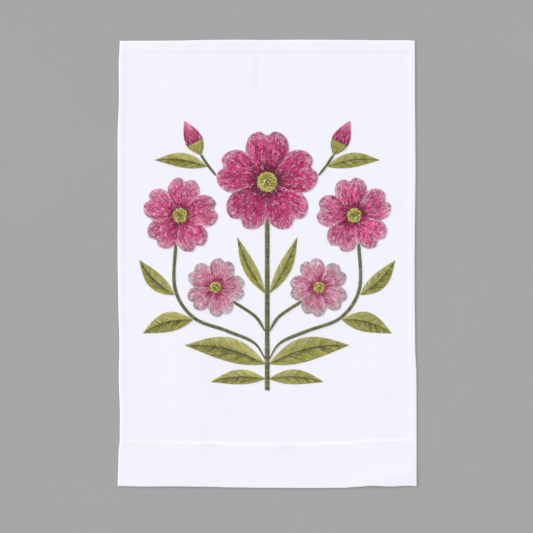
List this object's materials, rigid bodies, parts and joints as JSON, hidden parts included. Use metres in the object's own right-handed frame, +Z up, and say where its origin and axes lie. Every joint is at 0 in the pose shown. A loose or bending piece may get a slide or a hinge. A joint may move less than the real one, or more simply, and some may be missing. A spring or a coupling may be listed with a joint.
{
  "type": "hand towel",
  "caption": "White linen hand towel lying flat, face up, with narrow side hems, a deep hemstitched bottom hem and a raised stitched spray of pink blossoms.",
  "frame": {"origin": "bottom centre of the bounding box: under the middle of the towel, on the surface that it lies on", "axes": "+Z up out of the towel's face, +Y towards its top edge (the deep hem is at -Y), +X to its right"},
  "size_m": [0.3572, 0.5356, 0.0032],
  "materials": {
    "linen": "white plain-weave linen, lightly slubbed, matt",
    "deep_pink_thread": "glossy rayon stitches shaded from plum at the eye through magenta to pink at the rim",
    "pink_thread": "glossy rayon stitches shaded from magenta at the eye to light pink at the rim",
    "pale_pink_thread": "glossy rayon stitches shaded from pink at the eye to blush and grey lilac at the rim",
    "eye_thread": "small round knots of yellow-green and olive thread",
    "leaf_thread": "glossy slanted satin stitches, yellow-green with sage and olive",
    "stem_thread": "glossy slanted satin stitches, olive with dark olive"
  },
  "bodies": {
    "root": {"towel_cloth": "linen", "stem_main": "stem_thread", "stem_outer_left": "stem_thread", "stem_outer_right": "stem_thread", "stem_inner_left": "stem_thread", "stem_inner_right": "stem_thread", "stem_bud_left": "stem_thread", "stem_bud_right": "stem_thread", "leaf_foot_left": "leaf_thread", "leaf_foot_right": "leaf_thread", "leaf_low_left": "leaf_thread", "leaf_low_right": "leaf_thread", "leaf_outer_low_left": "leaf_thread", "leaf_outer_low_right": "leaf_thread", "leaf_outer_high_left": "leaf_thread", "leaf_outer_high_right": "leaf_thread", "leaf_inner_left": "leaf_thread", "leaf_inner_right": "leaf_thread", "leaf_crown_left": "leaf_thread", "leaf_crown_right": "leaf_thread", "calyx_left": "leaf_thread", "calyx_right": "leaf_thread", "bud_left": "pink_thread", "bud_right": "pink_thread", "blossom_top": "deep_pink_thread", "blossom_upper_left": "pink_thread", "blossom_upper_right": "pink_thread", "blossom_lower_left": "pale_pink_thread", "blossom_lower_right": "pale_pink_thread", "eye_top": "eye_thread", "eye_upper_left": "eye_thread", "eye_upper_right": "eye_thread", "eye_lower_left": "eye_thread", "eye_lower_right": "eye_thread"}
  },
  "joints": []
}
